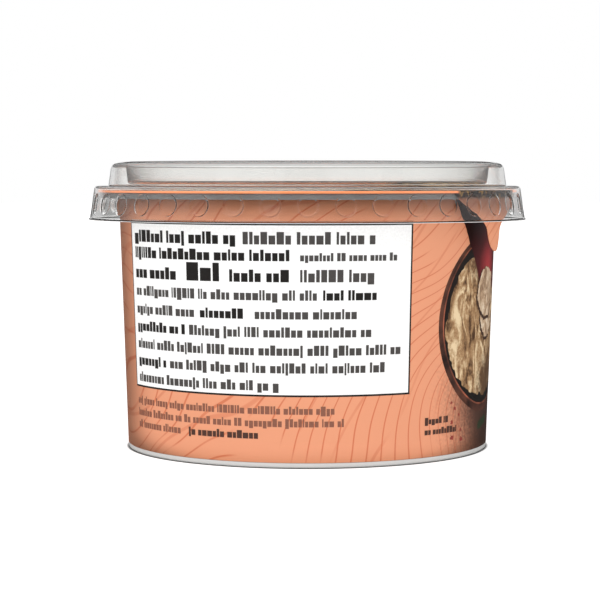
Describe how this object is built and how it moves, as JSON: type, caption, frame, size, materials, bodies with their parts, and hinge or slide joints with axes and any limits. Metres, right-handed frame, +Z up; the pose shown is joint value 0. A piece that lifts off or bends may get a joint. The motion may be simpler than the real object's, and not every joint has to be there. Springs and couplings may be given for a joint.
{
  "type": "tub of cheese dip",
  "caption": "Shut round plastic tub of cheese dip with a printed label, a peel-off seal film with a pull tab, and a clear press-on lid.",
  "frame": {"origin": "middle of the foot that the tub stands on", "axes": "+Z up through the lid; -Y faces the side shown in the picture; the pull tab hangs at +X, towards -Y"},
  "size_m": [0.0858, 0.0858, 0.0558],
  "materials": {
    "tub": "white polypropylene, satin",
    "label": "printed film, salmon orange ground, satin",
    "seal_film": "printed seal film, orange, satin",
    "lid": "clear polyester, glossy"
  },
  "bodies": {
    "root": {"tub": "tub", "label": "label", "seal_film": "seal_film", "lid": "lid"}
  },
  "joints": []
}
